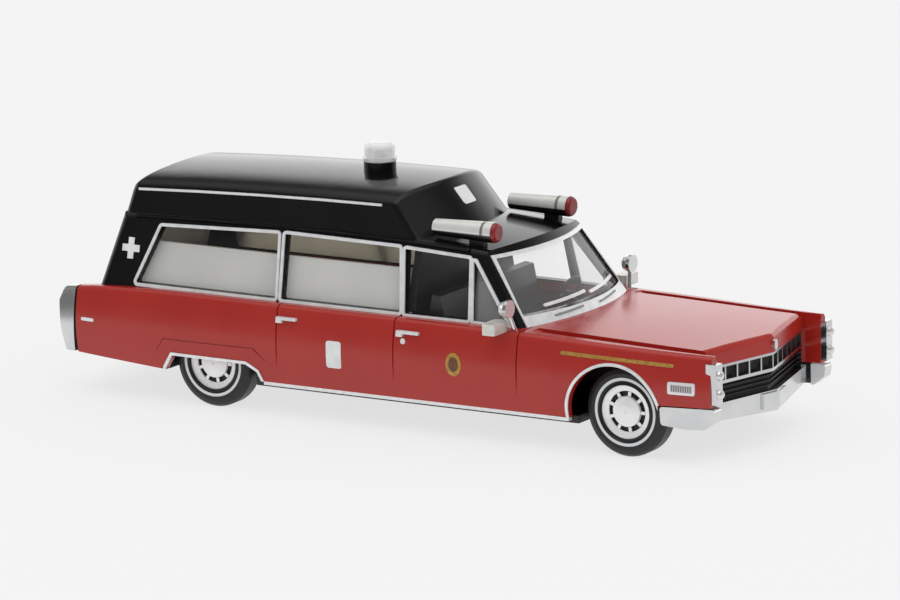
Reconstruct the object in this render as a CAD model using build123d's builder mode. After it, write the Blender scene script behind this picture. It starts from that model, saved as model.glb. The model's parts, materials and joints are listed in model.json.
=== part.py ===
"""A 1:87 scale model of a high-roof ambulance car from the middle of the 1960s.

Millimetres. +X is forward, +Y is the car's left and +Z is up.
The ground is z = 0 and x = 0 is the middle of the model's length.
"""
import os

from build123d import *

os.makedirs("parts", exist_ok=True)

# Overall layout
NOSE_X = 36.75
TAIL_X = -36.75
REACH = 20.0
FAR = 5 * REACH
FRONT_AXLE_X = 26.3
WHEELBASE = 45.5
REAR_AXLE_X = FRONT_AXLE_X - WHEELBASE

# Wheels and axles: faces are radius and distance from the car's middle
TYRE_R = 4.25
TYRE_IN_Y = 8.0
TYRE_OUT_Y = 10.4
RIM_R = 2.76
RIM_IN_Y = 8.3
AXLE_R = 0.5
AXLE_GAP = 0.05
SLOT_IN_R = 1.5
SLOT_OUT_R = 1.88
SLOT_FLOOR_Y = 9.75
SPOKES = 9
SPOKE_W = 0.3
SPOKE_H = 0.28
RIM_FACE = (
    (0.0, RIM_IN_Y), (RIM_R, RIM_IN_Y), (RIM_R, 10.2), (2.52, 10.3), (2.4, 10.12), (1.95, 10.0),
    (SLOT_OUT_R, SLOT_FLOOR_Y), (SLOT_IN_R, SLOT_FLOOR_Y), (1.42, 10.15), (0.6, 10.3), (0.0, 10.34),
)
TYRE_FACE = (
    (RIM_R, 8.15), (3.6, TYRE_IN_Y), (4.0, 8.15), (TYRE_R, 8.5), (TYRE_R, 9.9), (4.0, 10.25),
    (3.6, TYRE_OUT_Y), (2.95, 10.36), (RIM_R, 10.2),
)

# Nose: the grille follows a shallow V in plan, with a bumper bar and its middle guard ahead of it
GUARD_T = 0.25
GUARD_HALF = 2.1
GUARD_LOW_Z = 3.75
GUARD_TOP_Z = 5.2
BUMPER_PROUD = 0.3
BUMPER_BACK = 1.2
GRILLE_MID_X = NOSE_X - GUARD_T - BUMPER_PROUD
GRILLE_SWEEP = 2.4
GRILLE_HALF = 9.75
GRILLE_END_X = GRILLE_MID_X - GRILLE_SWEEP
GRILLE_LOW_Z = 5.35
GRILLE_TOP_Z = 8.8
GRILLE_DEEP = 1.0
GRILLE_SET = 0.1
GRILLE_T = 0.6
AHEAD = 6.0
WING_END_X = GRILLE_MID_X - 0.5
LIP_ROUND = 0.5

# Lower body
WALL = 0.9
FIT = 0.05
SILL_Z = 3.3
WAIST_Z = 7.4
TUCK = 0.45
LEAN = 0.40
SHOULDER_R = 0.6
OPEN_DROP = 1.2
BODY_SECTIONS = (  # x, half width, belt z, crown z
    (TAIL_X - 0.1, 10.65, 10.05, 10.10),
    (-27.0, 11.35, 10.80, 10.88),
    (-8.0, 11.62, 10.88, 11.02),
    (12.0, 11.62, 10.82, 11.05),
    (25.0, 11.48, 10.54, 10.86),
    (GRILLE_MID_X, 11.02, 10.38, 10.50),
)
WELL_FRONT_X = 14.2
WELL_MID_X = 15.6
WELL_REAR_X = -30.6
WELL_HALF = 9.0
SHUT_W = 0.14
SHUT_DEEP = 0.13
SHUT_LINES = (  # front door, rear door and wheel skirt, each a chain of points in x and z
    ((1.95, 11.5), (1.95, 4.1), (14.2, 4.1), (15.4, 5.0), (15.4, 11.5)),
    ((1.95, 4.1), (-10.6, 4.1), (-11.1, 4.6), (-11.1, 11.5)),
    ((-25.0, 5.1), (-24.1, 6.4), (-13.8, 6.5), (-12.4, 5.4)),
)

# Bonnet: a groove inside each wing's crest
GROOVE_IN_Y = 8.7
GROOVE_OUT_Y = 9.9
GROOVE_SIDE = ((16.2, 10.75), (17.4, 10.42), (25.0, 10.25), (40.0, 9.75), (40.0, 13.0), (16.2, 13.0))

# Greenhouse and raised roof
ROOF_WALL = 0.8
HOUSE_LOW_Z = 10.0
HOUSE_SECTIONS = (  # x, foot half width, cant half width, cant z, crown z
    (-33.0, 9.85, 8.25, 16.95, 17.85),
    (-20.0, 10.10, 8.45, 17.45, 18.40),
    (-6.0, 10.15, 8.50, 17.60, 18.60),
    (4.0, 10.10, 8.45, 17.40, 18.35),
    (11.0, 9.95, 8.30, 17.00, 17.80),
    (18.5, 9.60, 8.00, 16.30, 16.90),
)
CANT_IN = 0.9
CANT_UP = 0.45
RAISE_LOW_Z = 16.7
SHOULDER_OUT = 0.72
SHOULDER_UP = 0.5
POLE_EXTRA = 1 / 7
RAISE_SECTIONS = (  # x, foot half width, moulding half width, moulding z, crown z
    (-33.0, 8.00, 7.55, 19.70, 21.20),
    (-15.0, 8.27, 7.85, 20.52, 22.10),
    (-3.0, 8.33, 7.90, 20.72, 22.28),
    (8.0, 8.22, 7.80, 20.68, 22.18),
)
RAKED_H = 14.0
SCREEN_RAKE = 0.776
SCREEN_LOW_X = 17.69
SCREEN_SIDE_X = 14.69
SCREEN_SIDE_Y = 11.0
RAISE_RAKE = 0.85
RAISE_FRONT_X = 6.45
RAISE_CORNER_X = 2.90
RAISE_CORNER_Y = 8.9
RAISE_ROUND = 0.7
CORNER_ROUND = 0.8
REAR_FOOT = (-32.75, 10.0)
REAR_HEAD = (-29.95, 19.6)
REAR_BEND = (-29.0, 21.0)
REAR_TOP = (-26.2, 22.1)
ABOVE_ROOF = (-23.2, 24.0)

# Windows: outlines in x and z at the sides, in y and z at the ends
WINDOW_R = 0.15
SIDE_WINDOWS = (  # corner radius, outline
    (WINDOW_R, ((-28.2, 11.15), (-12.15, 11.15), (-12.4, 17.15), (-25.8, 16.65))),
    (WINDOW_R, ((-11.5, 11.15), (1.75, 11.15), (1.15, 17.05), (-11.65, 17.20))),
    (WINDOW_R, ((2.3, 11.10), (9.2, 11.10), (8.75, 16.65), (1.75, 17.00))),
    (0.0, ((9.75, 11.10), (13.4, 11.05), (9.36, 16.42), (9.22, 16.42))),
)
SCREEN_OUTLINE = ((-8.75, 11.75), (8.75, 11.75), (7.75, 16.75), (-7.75, 16.75))
SCREEN_FRAME = ((-9.15, 10.0), (9.15, 10.0), (8.05, 17.05), (-8.05, 17.05))
SCREEN_X = (6.0, 20.0)
BACK_OUTLINE = ((-6.8, 12.4), (6.8, 12.4), (6.2, 16.9), (-6.2, 16.9))
BACK_X = (-36.0, -26.0)
TRIM_W = 0.3
TRIM_PROUD = 0.12
GLASS_OUT = 0.2
GLASS_IN = 0.6
BLINDS = (  # rear end x, front end x
    (-28.6, -12.0),
    (-11.8, 1.9),
)
BLIND_T = 0.3
BLIND_LOW_Z = 11.15
BLIND_TOP_Z = 15.0
BLIND_IN_Y = 6.0
REAR_BLIND = (-FAR, -29.0)
REAR_BLIND_HALF = 7.0
REAR_BLIND_TOP_Z = 16.2

# Wheel openings and lower edges
ARCH_X = 25.6
ARCH_Z = 3.85
ARCH_R = 4.85
ARCH_LIP = 0.28
REAR_ARCH = ((-24.35, 2.5), (-24.1, 3.5), (-23.15, 4.85), (-14.7, 4.85), (-13.5, 4.2), (-12.8, 2.5))
FRONT_LOW = ((30.3, 1.0), (30.3, 5.5), (NOSE_X + 1.0, 5.75), (NOSE_X + 1.0, 1.0))
REAR_LOW = ((-24.35, 1.0), (-24.35, 3.3), (TAIL_X - 1.0, 4.1), (TAIL_X - 1.0, 1.0))
SILL_FRONT_X = 20.7
SILL_REAR_X = -12.9
SILL_LOW_Z = 2.98
SILL_Y = 10.85
SILL_W = 0.6

# Tail: chrome pods behind the fins, a dark seal between, and a sloped rear door
FIN_END_X = TAIL_X + 2.15
FIN_IN_Y = 9.3
SEAL_T = 0.25
SEAL_SET = 0.25
POD_X = FIN_END_X - SEAL_T
TAIL_POD = ((POD_X, 4.0), (-35.9, 4.0), (-36.45, 6.2), (TAIL_X, 8.8), (-36.25, 10.0), (POD_X, 11.0))
DOOR_FOOT = (TAIL_X + 2.45, 3.6)
DOOR_HEAD = (TAIL_X + 4.2, 11.2)
CAVITY = ((-33.3, 0), (-33.3, 3.6), (-31.2, 12.0), (32.4, 12.0), (32.4, 0))
BAR_REAR_X = TAIL_X + 0.45
BAR_L = 1.9
BAR_Z = 4.9
BAR_H = 1.6
SIGN_HALF = 1.6
SIGN_H = 1.05
SIGN_T = 0.2
TAIL_LENS = ((-36.0, 5.9), (-36.5, 5.9), (-36.74, 8.2), (-36.2, 8.2))
TAIL_LENS_HALF = 0.35
TAIL_LENS_Y = 10.0

# Grille bars, headlamps and the nose ornament
GRILLE_BARS = (  # z, height
    (8.66, 0.26), (7.15, 0.30),
)
GRILLE_PITCH = 1.55
GRILLE_CELLS = 12
GRILLE_BAR_W = 0.16
GRILLE_END_W = 0.4
MESH_HEIGHTS = (6.6, 6.15, 5.7)
MESH_H = 0.12
LAMP_Y = 10.33
LAMP_R = 0.5
LAMP_SET = 0.4
LAMP_BULGE = 0.44
LAMP_HEIGHTS = (8.7, 6.95)
LENS_FACE = (  # distance ahead of the lens's back, radius
    (0.0, 0.0), (0.0, LAMP_R), (LAMP_SET, LAMP_R), (LAMP_SET + 0.55 * LAMP_BULGE, 0.86 * LAMP_R),
    (LAMP_SET + 0.88 * LAMP_BULGE, 0.55 * LAMP_R), (LAMP_SET + LAMP_BULGE, 0.0),
)
BEZEL_T = 1.1
BEZEL_FRONT_X = GRILLE_MID_X + 0.1
BEZEL_BACK_X = BEZEL_FRONT_X - BEZEL_T
BEZEL_HALF = 0.56
BEZEL_LOW_Z = 6.0
BEZEL_TOP_Z = 9.75
ORNAMENT_Z = 9.55
ORNAMENT_HALF_W = 0.3
ORNAMENT_HALF_H = 0.5
ORNAMENT_PROUD = 0.25

# Front bumper: the bar's front outline in y and z, and a pod at each end in x and z
BAR_FRONT = ((-GRILLE_HALF, 3.85), (0, 3.35), (GRILLE_HALF, 3.85), (GRILLE_HALF, 5.35), (-GRILLE_HALF, 5.35))
END_POD = ((30.5, 3.65), (33.0, 3.45), (34.9, 3.55), (36.0, 4.4), (GRILLE_MID_X, 5.6), (30.5, 5.4))
END_ROUND = 0.3
END_T = 0.9
END_FACE_X = 34.6

# Fittings on the body's sides
CORNER_LAMP = ((31.4, 6.7), (34.2, 6.75), (34.2, 7.9), (31.4, 7.85))
CORNER_LAMP_R = 0.2
HANDLES = (  # rear end x, front end x
    (-11.0, -8.8),
    (2.4, 4.8),
)
HANDLE_Z = 9.72
HANDLE_H = 0.26
HANDLE_PROUD = 0.32
BUTTON_L = 0.65
BUTTON_H = 0.55
DOOR_PULL = (0.7, 0.35, 1.6)
DOOR_PULL_AT = (-33.0, 5.4, 9.4)

# Roof: rain rails, a blank plaque, side mouldings, two forward lamps and the beacon
RAIL = ((-28.9, 17.4), (-20.0, 17.7), (-6.0, 17.84), (4.0, 17.65), (8.6, 17.42))
RAIL_H = 0.2
RAIL_PROUD = 0.16
RAIL_IN_Y = 7.4
PLAQUE = ((-1.0, 20.0), (1.0, 20.0), (1.0, 21.45), (-1.0, 21.45))
PLAQUE_R = 0.2
PLAQUE_T = 0.08
PLAQUE_X = (-2.0, 8.0)
MOULDING = ((-28.9, 19.86), (-22.0, 20.22), (-15.0, 20.5), (-8.0, 20.68), (-1.2, 20.76))
MOULDING_H = 0.22
MOULDING_IN_Y = 6.0
TUBE_REAR_X = 4.0
TUBE_FRONT_X = 10.45
TUBE_Y = 6.76
TUBE_Z = 18.95
TUBE_REAR_R = 0.78
TUBE_FRONT_R = 1.0
FOOT_X = 8.6
FOOT_L = 1.6
FOOT_W = 0.7
FOOT_H = 1.8
TUBE_LENS_T = 0.42
TUBE_LENS_R = TUBE_FRONT_R - 0.06
TUBE_LENS_ROUND = 0.3
BEACON_X = -6.4
BEACON_BASE_R = 1.55
BEACON_BASE_H = 1.5
BEACON_R = 1.45
BEACON_STEP_Z = 23.2
BEACON_TOP_Z = 25.0
BEACON_ROUND = 0.55
FLANGE_R = 1.62
FLANGE_H = 0.35
DOME_T = 0.25
DOME_HOLLOW_H = 1.2
BULB_R = 0.5
BULB_H = 0.9

# Door mirrors and spot lamps on short stalks, given for the left side
MIRROR_AT = (13.4, 12.0, 11.25)
MIRROR_SIZE = (1.4, 2.5, 1.05)
MIRROR_ROUND = 0.3
MIRROR_FOOT = (12.9, 10.6, 10.5)
SPOT_AT = (14.3, 11.2, 12.95)
SPOT_FOOT = (14.7, 10.35, 10.6)
SPOT_BOWL = (  # distance ahead of the lamp's middle, radius
    (-0.85, 0.0), (-0.85, 0.3), (-0.5, 0.68), (0.0, 0.85), (0.35, 0.85), (0.35, 0.0),
)
STALK_R = 0.2

# Inside: floor and front wall, bench seat, dashboard, steering wheel, partition and cot
FLOOR_Z = 5.3
FLOOR_T = 0.6
FLOOR_REAR_X = -31.3
NARROW_Y = 7.2
WIDE_Y = 9.8
WIDE_REAR_X = -13.0
FIREWALL_X = 18.5
FIREWALL_T = 0.7
FIREWALL_TOP = 9.8
SEAT_Z = FLOOR_Z + FLOOR_T
SEAT_HALF = 8.4
SEAT_SIDE = ((4.2, SEAT_Z), (9.6, SEAT_Z), (9.9, 8.5), (6.3, 8.2), (5.3, 12.7), (4.4, 12.8), (3.6, 8.0))
DASH_HALF = 8.8
DASH_SIDE = ((13.0, 8.2), (12.8, 10.1), (13.3, 10.7), (13.9, 10.7), (13.9, 9.8), (FIREWALL_X, 9.8), (FIREWALL_X, 8.2))
WHEEL_AT = (11.3, 4.4, 11.0)
WHEEL_TILT = -62.0
WHEEL_R = 1.9
WHEEL_TUBE = 0.17
WHEEL_SPOKE = (0.35, 0.2)
WHEEL_HUB = (0.4, 0.35)
COLUMN_R = 0.22
COLUMN_L = 2.6
PARTITION_X = 2.2
PARTITION_T = 0.7
PARTITION_TOP = 17.1
PARTITION_STEP_Z = 11.3
PARTITION_HALF = 8.6
COT_X = -16.0
COT_Y = 1.5
COT_BLOCKS = (  # x from the cot's middle, length, width, foot above the floor, height
    (0.0, 18.0, 4.0, 0.0, 1.6),
    (0.0, 20.0, 6.0, 1.6, 1.2),
    (7.8, 3.4, 4.8, 2.8, 0.6),
)

# Underneath: one plate with wheel wells, axle bearings, a flat pad and the frame's relief
PLATE_LOW_Z = 2.65
PLATE_TOP_Z = 3.4
PLATE_SIDE = (
    (-32.5, 4.15), (-24.5, 3.55), (-23.6, PLATE_LOW_Z), (30.2, PLATE_LOW_Z),
    (30.2, PLATE_TOP_Z), (-23.0, PLATE_TOP_Z), (-24.4, 4.25), (-32.5, 4.85),
)
TONGUE_HALF = 9.0
TONGUE_L = 6.0
TONGUE_LOW_Z = 3.3
TONGUE_TOP_Z = 4.2
WELL_HALF_L = 5.0
WELL_IN_Y = 7.4
WELL_W = 10.0
WELL_H = 8.0
BEARING_Y = 5.6
BEARING_L = 3.2
BEARING_W = 1.8
PAD_L = 10.0
PAD_W = 7.0
PAD_LOW_Z = 2.05
RELIEF_LOW_Z = 2.3
RELIEFS = (  # rear end x, front end x, middle y, width
    (-22.0, -13.0, 4.9, 0.9),
    (-22.0, -13.0, -4.9, 0.9),
    (8.0, 21.0, 4.9, 0.9),
    (8.0, 21.0, -4.9, 0.9),
    (8.0, 18.0, 0.0, 2.6),
    (-13.5, -9.0, -2.6, 2.2),
)
PIPES = (  # rear end x, front end x, middle y
    (-22.0, 20.0, -2.6),
    (-16.0, -3.0, 0.0),
)
PIPE_R = 0.32


def save(piece, name):
    """Names a finished piece and writes it out."""
    piece.part.label = name
    export_step(piece.part, "parts/" + name + ".step")


def flip(point):
    """The same point on the other side of the car."""
    return (-point[0], point[1])


def body_form(inset, drop):
    """The lower body's outside, moved in by inset and down at the sill by drop."""
    bend_up = SHOULDER_R * 0.5**0.5
    with BuildPart() as form:
        for x, half, belt, crown in BODY_SECTIONS:
            low = (half - TUCK - inset, SILL_Z - drop)
            waist = (half - inset, WAIST_Z)
            high = (half - LEAN - inset, belt - SHOULDER_R - inset)
            bend = (high[0] - SHOULDER_R + bend_up, high[1] + bend_up)
            edge = (high[0] - SHOULDER_R, high[1] + SHOULDER_R)
            with BuildSketch(Plane.YZ.offset(x)):
                with BuildLine():
                    Line(flip(low), low)
                    ThreePointArc(low, waist, high)
                    ThreePointArc(high, bend, edge)
                    ThreePointArc(edge, (0, crown - inset), flip(edge))
                    ThreePointArc(flip(edge), flip(bend), flip(high))
                    ThreePointArc(flip(high), flip(waist), flip(low))
                make_face()
        loft()
    return form.part


def tapered_form(inset):
    """The greenhouse's outside: straight sides, a rounded cant rail and a crown."""
    bend_in, bend_up = 0.32, 0.68
    with BuildPart() as form:
        for x, foot_half, top_half, top_z, crown in HOUSE_SECTIONS:
            foot = (foot_half - inset, HOUSE_LOW_Z)
            top = (top_half - inset, top_z - inset)
            edge = (top[0] - CANT_IN, top[1] + CANT_UP)
            bend = (top[0] - CANT_IN * bend_in, top[1] + CANT_UP * bend_up)
            with BuildSketch(Plane.YZ.offset(x)):
                with BuildLine():
                    Line(flip(foot), foot)
                    Line(foot, top)
                    ThreePointArc(top, bend, edge)
                    ThreePointArc(edge, (0, crown - inset), flip(edge))
                    ThreePointArc(flip(edge), flip(bend), flip(top))
                    Line(flip(top), flip(foot))
                make_face()
        loft()
    return form.part


def domed_form(inset):
    """The raised roof's outside: straight sides that run smoothly into one curve over the top."""
    with BuildPart() as form:
        for x, foot_half, top_half, top_z, crown in RAISE_SECTIONS:
            foot = (foot_half - inset, RAISE_LOW_Z)
            top = (top_half - inset, top_z - inset)
            pole_z = crown - inset + POLE_EXTRA * (crown - top_z)
            lean = (top[0] - foot[0]) / (top[1] - foot[1])
            climb = SHOULDER_UP * (pole_z - top[1])
            near = (top[0] + lean * climb, top[1] + climb)
            high = (SHOULDER_OUT * top[0], pole_z)
            with BuildSketch(Plane.YZ.offset(x)):
                with BuildLine():
                    Line(flip(foot), foot)
                    Line(foot, top)
                    Bezier(top, near, high, (0, pole_z), flip(high), flip(near), flip(top))
                    Line(flip(top), flip(foot))
                make_face()
        loft()
    return form.part


def outlined(plane, outline, radius, grow, amount, both=False):
    """A prism on a plane from a closed outline, with rounded corners, grown all round."""
    with BuildPart() as prism:
        with BuildSketch(plane) as sketch:
            with BuildLine():
                Polyline(*outline, close=True)
            make_face()
            if radius > 0:
                fillet(sketch.vertices(), radius)
            if grow != 0:
                offset(amount=grow, kind=Kind.INTERSECTION)
        extrude(amount=amount, both=both)
    return prism.part


def across(outline, radius=0.0, grow=0.0):
    """A prism right across the car from a closed outline in x and z."""
    return outlined(Plane.XZ, outline, radius, grow, REACH, both=True)


def along(outline, x_range, radius=0.0, grow=0.0):
    """A prism along the car from a closed outline in y and z."""
    return outlined(Plane.YZ.offset(x_range[0]), outline, radius, grow, x_range[1] - x_range[0])


def nose_band(front, back, half, low_z, top_z):
    """A strip that follows the nose's shallow V, between two depths behind it."""
    end_x = GRILLE_MID_X - GRILLE_SWEEP * half / GRILLE_HALF
    plan = (
        (end_x - front, -half),
        (GRILLE_MID_X - front, 0),
        (end_x - front, half),
        (end_x - back, half),
        (GRILLE_MID_X - back, 0),
        (end_x - back, -half),
    )
    return outlined(Plane.XY.offset(low_z), plan, 0, 0, top_z - low_z)


def bowed_block(low_z, middle_x, corner_x, corner_y, rake):
    """All that lies behind a raked face whose plan is an arc."""
    with BuildPart() as block:
        with BuildSketch(Plane.XY.offset(low_z)):
            with BuildLine():
                ThreePointArc((corner_x, -corner_y), (middle_x, 0), (corner_x, corner_y))
                Polyline((corner_x, corner_y), (-FAR, corner_y), (-FAR, -corner_y), (corner_x, -corner_y))
            make_face()
        extrude(amount=RAKED_H * (1 + rake * rake) ** 0.5, dir=(-rake, 0, 1))
    return block.part


def rear_block(inset):
    """All that lies ahead of the rear face and under its rounded top edge."""
    foot = (REAR_FOOT[0] + inset, REAR_FOOT[1])
    head = (REAR_HEAD[0] + inset, REAR_HEAD[1])
    bend = (REAR_BEND[0] + inset, REAR_BEND[1] - inset)
    top = (REAR_TOP[0] + inset, REAR_TOP[1] - inset)
    with BuildPart() as block:
        with BuildSketch(Plane.XZ):
            with BuildLine():
                Line(foot, head)
                ThreePointArc(head, bend, top)
                Polyline(top, ABOVE_ROOF, (FAR, ABOVE_ROOF[1]), (FAR, foot[1]), foot)
            make_face()
        extrude(amount=REACH, both=True)
    return block.part


def house_form(inset):
    """The greenhouse up to the ordinary roof, between its two raked ends."""
    screen = bowed_block(HOUSE_LOW_Z, SCREEN_LOW_X - inset, SCREEN_SIDE_X - inset, SCREEN_SIDE_Y, SCREEN_RAKE)
    with BuildPart() as form:
        add(tapered_form(inset))
        add(screen, mode=Mode.INTERSECT)
        add(rear_block(inset), mode=Mode.INTERSECT)
    return form.part


def raise_form(inset):
    """The raised roof over the patient's room."""
    front = bowed_block(RAISE_LOW_Z, RAISE_FRONT_X - inset, RAISE_CORNER_X - inset, RAISE_CORNER_Y, RAISE_RAKE)
    with BuildPart() as form:
        add(domed_form(inset))
        add(front, mode=Mode.INTERSECT)
        add(rear_block(inset), mode=Mode.INTERSECT)
    return form.part


def between(outer, inner):
    """What lies inside one form and outside another."""
    with BuildPart() as skin:
        add(outer)
        add(inner, mode=Mode.SUBTRACT)
    return skin.part


def common(first, second):
    """What two forms share."""
    with BuildPart() as both:
        add(first)
        add(second, mode=Mode.INTERSECT)
    return both.part


def ribbon(chain, width):
    """A wall right across the car that follows an open chain of points in x and z."""
    with BuildPart() as wall:
        with BuildSketch(Plane.XZ):
            with BuildLine():
                Polyline(*chain)
            trace(line_width=width)
        extrude(amount=REACH, both=True)
    return wall.part


def turned(face, axle_x, side):
    """A piece turned about an axle, with its outside towards one side of the car."""
    with BuildPart() as piece:
        with BuildSketch(Plane((axle_x, 0, TYRE_R))):
            with BuildLine():
                Polyline(*[(r, side * y) for r, y in face], close=True)
            make_face()
        revolve(axis=Axis((axle_x, 0, TYRE_R), (0, 1, 0)))
    return piece.part


def bowl(face, place):
    """A round lamp turned about a line that points forward through a place."""
    with BuildPart() as piece:
        with BuildSketch(Plane(origin=place, x_dir=(1, 0, 0), z_dir=(0, -1, 0))):
            with BuildLine():
                Polyline(*face, close=True)
            make_face()
        revolve(axis=Axis(place, (1, 0, 0)))
    return piece.part


def stalk(first, last):
    """A round bar between two points."""
    with BuildPart() as bar:
        with BuildLine() as path:
            Line(first, last)
        with BuildSketch(Plane(origin=path.line @ 0, z_dir=path.line % 0)):
            Circle(STALK_R)
        sweep()
    return bar.part


def sided(place, side):
    """A place given for the left side, taken to either side."""
    return (place[0], side * place[1], place[2])


body_outside = body_form(0, 0)
body_skin = between(body_form(-TRIM_PROUD, 0), body_outside)
house_outside = house_form(0)
house_skin = between(house_form(-TRIM_PROUD), house_outside)
house_pane = between(house_form(GLASS_OUT), house_form(GLASS_IN))
raise_outside = raise_form(0)

# Lower body: one thin shell, open below, with its openings and its shut lines
cavity = common(body_form(WALL, OPEN_DROP), across(CAVITY))
with BuildPart() as shut_lines:
    for chain in SHUT_LINES:
        add(ribbon(chain, SHUT_W))
    add(body_form(SHUT_DEEP, OPEN_DROP), mode=Mode.SUBTRACT)
with BuildPart() as rear_door_gap:
    with BuildSketch(Plane.XZ):
        with BuildLine():
            Polyline(DOOR_FOOT, DOOR_HEAD, (DOOR_HEAD[0], REACH), (-FAR, REACH), (-FAR, DOOR_FOOT[1]), close=True)
        make_face()
    extrude(amount=FIN_IN_Y, both=True)
with BuildPart() as nose_rounded:
    add(body_outside)
    add(nose_band(-AHEAD, 0, GRILLE_HALF, 0, REACH), mode=Mode.SUBTRACT)
    lips = nose_rounded.edges().filter_by(lambda edge: abs(edge.center().Y) < GRILLE_HALF - LIP_ROUND)
    fillet(lips.filter_by(lambda edge: edge.center().Z > HOUSE_LOW_Z and edge.center().X > GRILLE_END_X), LIP_ROUND)
    for side in (-1, 1):
        with Locations((WING_END_X + AHEAD / 2, side * (GRILLE_HALF + REACH / 2), 0)):
            Box(AHEAD, REACH, FAR, mode=Mode.SUBTRACT)
with BuildPart() as body_shell:
    add(nose_rounded.part)
    add(cavity, mode=Mode.SUBTRACT)
    with BuildSketch(Plane.XY.offset(HOUSE_LOW_Z - WALL)):
        with BuildLine():
            ThreePointArc((WELL_FRONT_X, -WELL_HALF), (WELL_MID_X, 0), (WELL_FRONT_X, WELL_HALF))
            Polyline(
                (WELL_FRONT_X, WELL_HALF),
                (WELL_REAR_X, WELL_HALF),
                (WELL_REAR_X, -WELL_HALF),
                (WELL_FRONT_X, -WELL_HALF),
            )
        make_face()
    extrude(amount=REACH, mode=Mode.SUBTRACT)
    with BuildSketch(Plane.XZ):
        with Locations((ARCH_X, ARCH_Z)):
            Circle(ARCH_R)
    extrude(amount=REACH, both=True, mode=Mode.SUBTRACT)
    for edge in (REAR_ARCH, FRONT_LOW, REAR_LOW):
        add(across(edge), mode=Mode.SUBTRACT)
    add(nose_band(-AHEAD, GRILLE_DEEP, GRILLE_HALF, GRILLE_LOW_Z, GRILLE_TOP_Z), mode=Mode.SUBTRACT)
    for side in (-1, 1):
        groove_y = side * (GROOVE_IN_Y + GROOVE_OUT_Y) / 2
        groove_half = (GROOVE_OUT_Y - GROOVE_IN_Y) / 2
        add(outlined(Plane.XZ.offset(-groove_y), GROOVE_SIDE, 0, 0, groove_half, both=True), mode=Mode.SUBTRACT)
    with BuildSketch(Plane.YZ.offset(BEZEL_BACK_X)):
        with Locations((-LAMP_Y, (BEZEL_LOW_Z + BEZEL_TOP_Z) / 2), (LAMP_Y, (BEZEL_LOW_Z + BEZEL_TOP_Z) / 2)):
            Rectangle(2 * BEZEL_HALF, BEZEL_TOP_Z - BEZEL_LOW_Z)
    extrude(amount=AHEAD, mode=Mode.SUBTRACT)
    add(rear_door_gap.part, mode=Mode.SUBTRACT)
    with BuildSketch(Plane.YZ.offset(FIN_END_X)):
        Rectangle(2 * REACH, 2 * REACH)
    extrude(amount=-AHEAD, mode=Mode.SUBTRACT)
    add(shut_lines.part, mode=Mode.SUBTRACT)
save(body_shell, "body_shell")

# Black roof: greenhouse pillars, the ordinary roof over the driver and the raised roof
with BuildPart() as house_rounded:
    add(house_outside)
    fillet(house_rounded.edges().sort_by(Axis.X)[1:3], CORNER_ROUND)
with BuildPart() as raise_rounded:
    add(raise_outside)
    fillet(raise_rounded.edges().sort_by(Axis.X)[-4:-1], RAISE_ROUND)
    rear_edges = raise_rounded.edges().sort_by(Axis.X)[1:6]
    fillet([edge for edge in rear_edges if abs(edge.center().Y) > CORNER_ROUND], CORNER_ROUND)
window_prisms = [across(outline, radius) for radius, outline in SIDE_WINDOWS]
frame_prisms = [across(outline, radius, TRIM_W) for radius, outline in SIDE_WINDOWS]
screen_prism = along(SCREEN_OUTLINE, SCREEN_X, WINDOW_R)
back_prism = along(BACK_OUTLINE, BACK_X, WINDOW_R)
with BuildPart() as roof_shell:
    add(house_rounded.part)
    add(raise_rounded.part)
    add(body_outside, mode=Mode.SUBTRACT)
    add(house_form(ROOF_WALL), mode=Mode.SUBTRACT)
    add(raise_form(ROOF_WALL), mode=Mode.SUBTRACT)
    for prism in window_prisms:
        add(prism, mode=Mode.SUBTRACT)
    add(screen_prism, mode=Mode.SUBTRACT)
    add(back_prism, mode=Mode.SUBTRACT)
save(roof_shell, "roof_shell")

# Glazing, sunk a little in its openings, and the bright frames on the outside
with BuildPart() as windscreen:
    add(common(house_pane, screen_prism))
save(windscreen, "windscreen")
with BuildPart() as side_glass:
    for prism in window_prisms:
        add(common(house_pane, prism))
    add(body_outside, mode=Mode.SUBTRACT)
    add(windscreen.part, mode=Mode.SUBTRACT)
save(side_glass, "side_glass")
with BuildPart() as back_glass:
    add(common(house_pane, back_prism))
save(back_glass, "back_glass")
with BuildPart() as window_frames:
    for frame_prism, prism in zip(frame_prisms, window_prisms):
        add(common(house_skin, between(frame_prism, prism)))
    for prism in window_prisms:
        add(prism, mode=Mode.SUBTRACT)
    add(body_outside, mode=Mode.SUBTRACT)
save(window_frames, "window_frames")
with BuildPart() as windscreen_frame:
    add(common(house_skin, between(along(SCREEN_FRAME, SCREEN_X), screen_prism)))
    add(body_outside, mode=Mode.SUBTRACT)
save(windscreen_frame, "windscreen_frame")
with BuildPart() as back_window_frame:
    add(common(house_skin, between(along(BACK_OUTLINE, BACK_X, WINDOW_R, TRIM_W), back_prism)))
save(back_window_frame, "back_window_frame")

# White blinds behind the two rear side windows
with BuildPart() as window_blinds:
    for rear_x, front_x in BLINDS:
        add(across(((rear_x, BLIND_LOW_Z), (front_x, BLIND_LOW_Z), (front_x, BLIND_TOP_Z), (rear_x, BLIND_TOP_Z))))
    add(between(house_form(ROOF_WALL), house_form(ROOF_WALL + BLIND_T)), mode=Mode.INTERSECT)
    Box(FAR, 2 * BLIND_IN_Y, FAR, mode=Mode.SUBTRACT)
    rear_low, rear_top = (-REAR_BLIND_HALF, BLIND_LOW_Z), (REAR_BLIND_HALF, REAR_BLIND_TOP_Z)
    rear_outline = (rear_low, (rear_top[0], rear_low[1]), rear_top, (rear_low[0], rear_top[1]))
    rear_layer = between(house_form(ROOF_WALL), house_form(ROOF_WALL + BLIND_T))
    add(common(rear_layer, along(rear_outline, REAR_BLIND)))
save(window_blinds, "window_blinds")

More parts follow.
